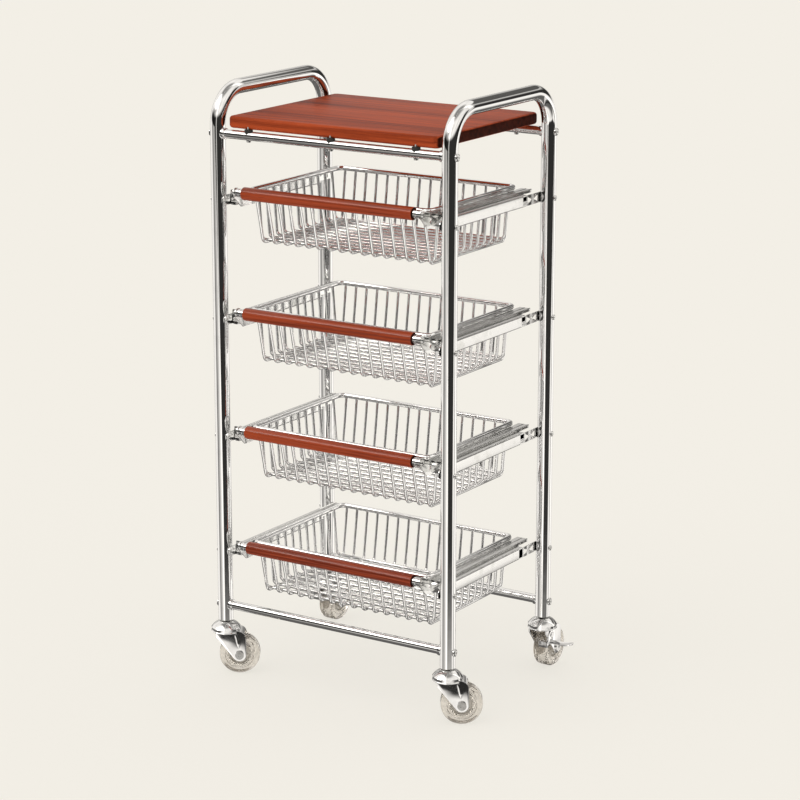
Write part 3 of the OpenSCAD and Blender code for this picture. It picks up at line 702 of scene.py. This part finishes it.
sheet_t = 0.001
rail_w = 0.011
rail_lip = 0.0025
rail_bend = 0.0015
rail_gap_front = 0.012    # the channel's ends, from the posts' axes
rail_gap_rear = 0.042
tab_h = 0.015
screw_hole_r = 0.0021
flange_drop = 0.0038      # the runner's flange, under the handle's axis
cap_in = 0.1582
for level in levels:
    low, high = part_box(f"handle_{level}")
    level_z = low.z + (high.z - low.z) / 2
    for side, way in (("left", -1), ("right", 1)):
        node = f"rail_{side}_{level}"
        low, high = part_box(node)
        out = max(abs(low.x), abs(high.x)) - sheet_t / 2
        near = out - rail_w + sheet_t
        foot, top = low.z + sheet_t / 2, high.z - sheet_t / 2
        rail_back = post_rear - rail_gap_rear
        rail_front = post_front + rail_gap_front
        mesh = bmesh.new()
        # The lips' ends, the two flanges and the web, in one rolled section.
        turns = [(near, 0, foot + rail_lip), (near, 0, foot), (out, 0, foot)]
        turns += [(out, 0, top), (near, 0, top), (near, 0, top - rail_lip)]
        add_channel(mesh, rounded(turns, rail_bend, 5), sheet_t, rail_front, rail_back, way)
        screw_z = (low.z + high.z) / 2
        for end, turn in ((post_rear, 0), (post_front, 180)):
            start = rail_back - 0.010 if turn == 0 else rail_front + 0.010
            edge = tab_h / 2 if turn == 0 else -tab_h / 2
            tab = arc_of((end, screw_z), tab_h / 2, -90 + turn, 90 + turn)
            tab += [(start, screw_z + edge), (start, screw_z - edge)]
            holes = [arc_of((end, screw_z), screw_hole_r, 0, 342)]
            if turn == 0:
                # Two triangular piercings point at each other across a narrow strut.
                first, last = rail_back + 0.003, post_rear - tab_h / 2 - 0.003
                middle = (first + last) / 2
                half, strut = 0.0052, 0.0012
                for foot_y, tip_y, lean in ((first, middle - strut, half), (last, middle + strut, -half)):
                    holes.append(rounded_hole([
                        (foot_y, screw_z - lean), (tip_y, screw_z), (foot_y, screw_z + lean),
                    ], 0.0006))
            add_pierced(mesh, tab, holes, out - sheet_t / 2, out + sheet_t / 2, way)
        piece(f"rolled_rail_{side}_{level}", mesh, slide_finish, "frame", "slide_sheet", node, smooth=0.5)
        refinish(f"runner_{side}_{level}", slide_finish)
        # A rolled bead along the runner's flange, and the pressed cap that closes its front end.
        low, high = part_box(f"runner_{side}_{level}")
        flange_top = level_z - flange_drop
        web_x = near - sheet_t / 2 - 0.0003
        mesh = bmesh.new()
        for x, size in ((web_x - 0.0004, 0.0011), (web_x - 0.0090, 0.0007)):
            add_tube(mesh, [Vector((way * x, post_front + 0.014, flange_top)),
                            Vector((way * x, post_rear - 0.010, flange_top))], size, 14, (0, 0, 1))
        cap_y = rail_front - 0.0008
        cap_out = out - 0.0010
        cap_low, cap_high = low.z + 0.0035, level_z - 0.0006
        corners_of = [(cap_in, cap_low), (cap_out, cap_low), (cap_out, cap_high), (cap_in, cap_high)]
        sheet_of = rounded([(way * x, z, 0) for x, z in corners_of][::way], 0.0022, 4, True)
        stand = Matrix(((1, 0, 0, 0), (0, 0, -1, cap_y), (0, 1, 0, 0), (0, 0, 0, 1)))
        start = len(mesh.verts)
        add_plate(mesh, [(point.x, point.y) for point in sheet_of], 0.0, 0.0010, 0.0003, 2)
        mesh.verts.ensure_lookup_table()
        for vert in mesh.verts[start:]:
            vert.co = stand @ vert.co
        face = cap_y - 0.0010
        inset = 0.0040
        for first_z, last_z, step in ((cap_low, cap_high, inset), (cap_high, cap_low, -inset)):
            near_end = Vector((way * (cap_in + inset), face, first_z + step))
            far_end = Vector((way * (cap_out - inset), face, last_z - step))
            add_ridge(mesh, near_end, far_end, 0.0015, 0.0011, Vector((0, -1, 0)))
        for z in (cap_low + 0.0042, cap_high - 0.0042):
            add_screw_head(mesh, (0, -1, 0), (way * (cap_out - 0.0030), face, z), 0.0019, 0.0011)
        piece(f"runner_trim_{side}_{level}", mesh, slide_finish, f"drawer_{level}", "slide_sheet")


# ---- Caster forks ----
# A pressed steel fork under a deep-drawn domed cap, both chromed. Each leg tapers down to the
# axle and carries a pressed-out rib. The fork turns on a stud in the end of the post.

def caster_place(corner):
    """The frame of one caster: its origin under the stud, X along its trail, Z up."""
    low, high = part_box("wheel_" + corner)
    axle = (low + high) / 2
    swivel_x = post_x if "right" in corner else -post_x
    swivel_y = post_front if "front" in corner else post_rear
    trail = Vector((axle.x - swivel_x, axle.y - swivel_y))
    turn = Matrix.Rotation(math.atan2(trail.y, trail.x), 4, "Z")
    return Matrix.Translation((swivel_x, swivel_y, 0)) @ turn, trail.length, high.z / 2


def add_sheet(mesh, outline, low, high, ease, place):
    """Adds a pressed sheet: an outline in its own plane, with eased edges, put in place."""
    start = len(mesh.verts)
    add_plate(mesh, outline, low, high, ease, 3)
    mesh.verts.ensure_lookup_table()
    for vert in mesh.verts[start:]:
        vert.co = place @ vert.co


fork_chrome = chrome("fork_chrome", (0.86, 0.86, 0.86), 0.05, "z", 0.08)
dome_r = 0.022
dome_base = 0.070
dome_top = 0.082
crown_z = 0.064
fork_t = 0.002
leg_out = 0.015
leg_round = 0.010
leg_back = -0.015
brake_pivot = (-0.001, 0.055)
lever_in = 0.0153
lever_t = 0.0016
for corner in corners:
    place, trail, wheel_r = caster_place(corner)
    mesh = bmesh.new()
    ball = (dome_r ** 2 + (dome_top - dome_base) ** 2) / (2 * (dome_top - dome_base))
    widest = math.asin(dome_r / ball)
    hole = math.asin(0.0042 / ball)
    cap = [(dome_r - fork_t, crown_z), (dome_r - 0.0006, crown_z), (dome_r, crown_z + 0.0006)]
    cap += [(dome_r, crown_z + 0.0012), (dome_r - 0.0007, crown_z + 0.0020)]
    cap.append((dome_r - 0.0006, dome_base - 0.0006))
    for i in range(13):
        turn = widest * 0.985 + (hole - widest * 0.985) * i / 12
        cap.append((ball * math.sin(turn), dome_top - ball + ball * math.cos(turn)))
    for i in range(13):
        turn = hole + (widest * 0.93 - hole) * i / 12
        cap.append(((ball - fork_t) * math.sin(turn), dome_top - ball + (ball - fork_t) * math.cos(turn)))
    cap.append((dome_r - fork_t, crown_z))
    add_lathe(mesh, cap, 56, place)
    # The crown is one with the legs and rolls over at its front, short of the wheel.
    shoulder_r = 0.012
    roll = arc_of((trail + leg_round - shoulder_r, crown_z + 0.002 - shoulder_r), shoulder_r, 90, 42, 8)
    path = [Vector((x, 0, z)) for x, z in [(leg_back + 0.003, crown_z + 0.002)] + roll]
    start = len(mesh.verts)
    add_channel(mesh, path, fork_t, -leg_out + 0.0005, leg_out - 0.0005, 1)
    mesh.verts.ensure_lookup_table()
    for vert in mesh.verts[start:]:
        vert.co = place @ vert.co
    # The leg's outline: straight down the front, round at the axle, and sloping up the back.
    knee = Vector((leg_back, crown_z - 0.006))
    axle = Vector((trail, wheel_r))
    reach_of = (axle - knee).length
    slope = math.atan2(axle.y - knee.y, axle.x - knee.x) - math.asin(leg_round / reach_of)
    outline = [(leg_back, crown_z + 0.003), (leg_back, knee.y)]
    outline += arc_of(axle, leg_round, math.degrees(slope) - 90, 0, 14)
    outline += arc_of((trail + leg_round - shoulder_r, crown_z + 0.003 - shoulder_r), shoulder_r, 0, 90, 9)
    for way in (-1, 1):
        stand = place @ Matrix(((1, 0, 0, 0), (0, 0, 1, 0), (0, 1, 0, 0), (0, 0, 0, 1)))
        near, far = (leg_out - fork_t, leg_out) if way > 0 else (-leg_out, fork_t - leg_out)
        add_sheet(mesh, outline, near, far, 0.0006, stand)
        braked = "rear" in corner and way * (1 if "left" in corner else -1) > 0
        if not braked:
            out = place.to_3x3() @ Vector((0, way, 0))
            rib_top = place @ Vector((trail - 0.006, way * leg_out, crown_z + 0.001))
            rib_foot = place @ Vector((trail - 0.001, way * leg_out, wheel_r + 0.010))
            add_ridge(mesh, rib_top, rib_foot, 0.0026, 0.0013, out)
    if "rear" in corner:
        way = 1 if "left" in corner else -1
        pin_at = Matrix.Translation((brake_pivot[0], 0, brake_pivot[1]))
        pin = place @ pin_at @ facing((0, way, 0), (0, 0, 0))
        head = lever_in + lever_t + 0.0003
        add_lathe(mesh, [
            (0, leg_out - 0.0005), (0.0025, leg_out - 0.0005), (0.0025, head), (0.0041, head),
            (0.0041, head + 0.0007), (0.0034, head + 0.0012), (0, head + 0.0012),
        ], 28, pin)
    piece(f"pressed_fork_{corner}", mesh, fork_chrome, f"caster_{corner}", "caster_metal", f"fork_{corner}",
          smooth=0.5)


# ---- Wheels ----
# Clear moulded plastic wheels, faintly warm and a little cloudy at the hub, with raised rings
# and a rounded tread. Each runs on a plated axle bolt with a key socket in its head.

def clear_plastic(name, tint, cloud):
    material, plastic = new_finish(name)
    place = plastic.node("TexCoord", {}, {}, out="Object")
    flow = plastic.node("TexNoise", {}, {"Vector": place, "Scale": 130.0, "Detail": 3.0, "Distortion": 0.8})
    dust = plastic.node("TexNoise", {}, {"Vector": place, "Scale": 700.0, "Detail": 2.0})
    clear = plastic.node("BsdfPrincipled", {}, {
        "Base Color": flow.rise(0.45, 0.7).mix(rgb(*tint), rgb(*(0.8 * part for part in tint))),
        "Roughness": 0.03 + 0.1 * dust.rise(0.55, 0.75),
        "Transmission Weight": 1.0, "IOR": 1.47,
        "Normal": plastic.node("Bump", {}, {"Strength": 0.08, "Distance": 0.0005, "Height": flow}),
    })
    milky = plastic.node("BsdfPrincipled", {}, {
        "Base Color": flow.mix(rgb(0.80, 0.77, 0.72), rgb(0.66, 0.60, 0.53)),
        "Roughness": 0.22 + 0.15 * dust, "Coat Weight": 0.4, "Coat Roughness": 0.05,
    })
    skin = plastic.node("MixShader", {}, {0: cloud + 0.18 * flow, 1: clear, 2: milky})
    plastic.node("OutputMaterial", {}, {"Surface": skin})
    return material


tyre_plastic = clear_plastic("clear_tyre", (0.93, 0.89, 0.84), 0.06)
hub_plastic = clear_plastic("cloudy_hub", (0.92, 0.90, 0.87), 0.34)
tread_half = 0.011
tread_ease = 0.0042
hub_r = 0.0165
for corner in corners:
    place, trail, wheel_r = caster_place(corner)
    spin = place @ Matrix.Translation((trail, 0, wheel_r)) @ facing((0, 1, 0), (0, 0, 0))
    mesh = bmesh.new()
    # The tyre's outline runs out along one side, round the tread and back along the other.
    side_of = [
        (hub_r, tread_half - 0.0030), (hub_r + 0.0006, tread_half - 0.0004), (hub_r + 0.0012, tread_half),
        (hub_r + 0.0024, tread_half), (hub_r + 0.0032, tread_half - 0.0012),
        (hub_r + 0.0045, tread_half - 0.0012), (hub_r + 0.0053, tread_half - 0.0002),
        (wheel_r - 0.0052, tread_half),
    ]
    ease_r, ease_z = wheel_r - tread_ease, tread_half - tread_ease
    shoulder = [
        (ease_r + tread_ease * math.sin(turn), ease_z + tread_ease * math.cos(turn))
        for turn in (0.15, 0.45, 0.75, 1.05, 1.35, math.pi / 2)
    ]
    half = side_of + shoulder
    ring = [(radius, -along) for radius, along in half]
    ring += [(radius, along) for radius, along in reversed(half)]
    add_lathe(mesh, ring + ring[:1], 72, spin)
    bmesh.ops.remove_doubles(mesh, verts=mesh.verts, dist=1e-6)
    piece(f"clear_tyre_{corner}", mesh, tyre_plastic, f"roller_{corner}", "clear_wheel", f"wheel_{corner}")
    mesh = bmesh.new()
    face_of = [
        (0.0043, tread_half + 0.0013), (0.0078, tread_half + 0.0014), (0.0083, tread_half + 0.0008),
        (0.0092, tread_half - 0.0020), (0.0100, tread_half - 0.0026), (0.0135, tread_half - 0.0026),
        (0.0143, tread_half - 0.0020), (0.0150, tread_half - 0.0012), (hub_r - 0.0003, tread_half - 0.0016),
    ]
    ring = [(radius, -along) for radius, along in face_of]
    ring += [(radius, along) for radius, along in reversed(face_of)]
    add_lathe(mesh, ring + ring[:1], 64, spin)
    bmesh.ops.remove_doubles(mesh, verts=mesh.verts, dist=1e-6)
    for spoke in range(8):
        turn = spin @ Matrix.Rotation(2 * math.pi * spoke / 8, 4, "Z")
        for way in (-1, 1):
            face = way * (tread_half - 0.0026)
            start, end = turn @ Vector((0.0096, 0, face)), turn @ Vector((0.0142, 0, face))
            add_ridge(mesh, start, end, 0.0009, 0.0010, turn.to_3x3() @ Vector((0, 0, way)))
    piece(f"cloudy_hub_{corner}", mesh, hub_plastic, f"roller_{corner}", "clear_wheel", f"wheel_{corner}")
    refinish(f"axle_{corner}", zinc_finish)


# ---- Brakes ----
# Each rear caster has a pressed pedal outside its outer leg. It rocks on a pin, and its turned-in
# shoe comes down on the tread. The pedal's end is dished and curls up to meet a toe.

pedal_reach = 0.057
pedal_half = 0.0075
pedal_z = 0.047
shoe_x = -0.015
shoe_drop = 0.009
shoe_in = 0.002
eye_r = 0.007
for side, way in (("left", 1), ("right", -1)):
    place, trail, wheel_r = caster_place(f"rear_{side}")
    pedal_in = lever_in + lever_t
    flip = place @ Matrix.Diagonal((1, way, 1, 1))
    mesh = bmesh.new()
    stand = flip @ Matrix(((1, 0, 0, 0), (0, 0, 1, 0), (0, 1, 0, 0), (0, 0, 0, 1)))
    outline = [(shoe_x, pedal_z - shoe_drop), (shoe_in, pedal_z - 0.003)]
    outline += arc_of(brake_pivot, eye_r, -35, 150, 16)
    outline += [(shoe_x, pedal_z)]
    add_sheet(mesh, outline, lever_in, pedal_in, 0.0005, stand)
    shoe_z = pedal_z - shoe_drop
    shoe = [(shoe_in, shoe_z), (pedal_in, shoe_z), (pedal_in, pedal_z), (shoe_in, pedal_z)]
    across_way = flip @ Matrix(((0, 0, 1, 0), (1, 0, 0, 0), (0, 1, 0, 0), (0, 0, 0, 1)))
    add_sheet(mesh, shoe, shoe_x, shoe_x + lever_t, 0.0005, across_way)
    stations = 16
    grid = []
    for i in range(stations + 1):
        share = i / stations
        out = pedal_in - lever_t + (pedal_reach - pedal_in + lever_t) * share
        rise = 0.0035 * max(0.0, share - 0.55) ** 2 / 0.2
        left_over = pedal_reach - out
        half = pedal_half
        if left_over <= pedal_half:
            half = math.sqrt(max(1e-8, pedal_half ** 2 - (pedal_half - left_over) ** 2))
        half *= 0.82 + 0.18 * min(1.0, 2.2 * abs(share - 0.42) + 0.1)
        row = []
        for step in range(9):
            across = -1 + 2 * step / 8
            dish = 0.0008 * (across ** 2 - 0.3) * min(1.0, 3 * share)
            row.append((shoe_x + pedal_half + half * across, out, pedal_z - lever_t / 2 + rise + dish))
        grid.append(row)
    for face_z in (-lever_t / 2, lever_t / 2):
        sheet = [[mesh.verts.new(flip @ Vector((x, y, z + face_z))) for x, y, z in row] for row in grid]
        for first, second in zip(sheet, sheet[1:]):
            for step in range(8):
                mesh.faces.new((first[step], first[step + 1], second[step + 1], second[step]))
        if face_z < 0:
            under = sheet
    for first, second, other, another in zip(under, under[1:], sheet, sheet[1:]):
        for step in (0, 8):
            mesh.faces.new((first[step], second[step], another[step], other[step]))
    for first, other in ((under[0], sheet[0]), (under[-1], sheet[-1])):
        for step in range(8):
            mesh.faces.new((first[step], first[step + 1], other[step + 1], other[step]))
    piece(f"brake_pedal_{side}", mesh, fork_chrome, f"brake_{side}", "caster_metal", f"brake_lever_{side}")
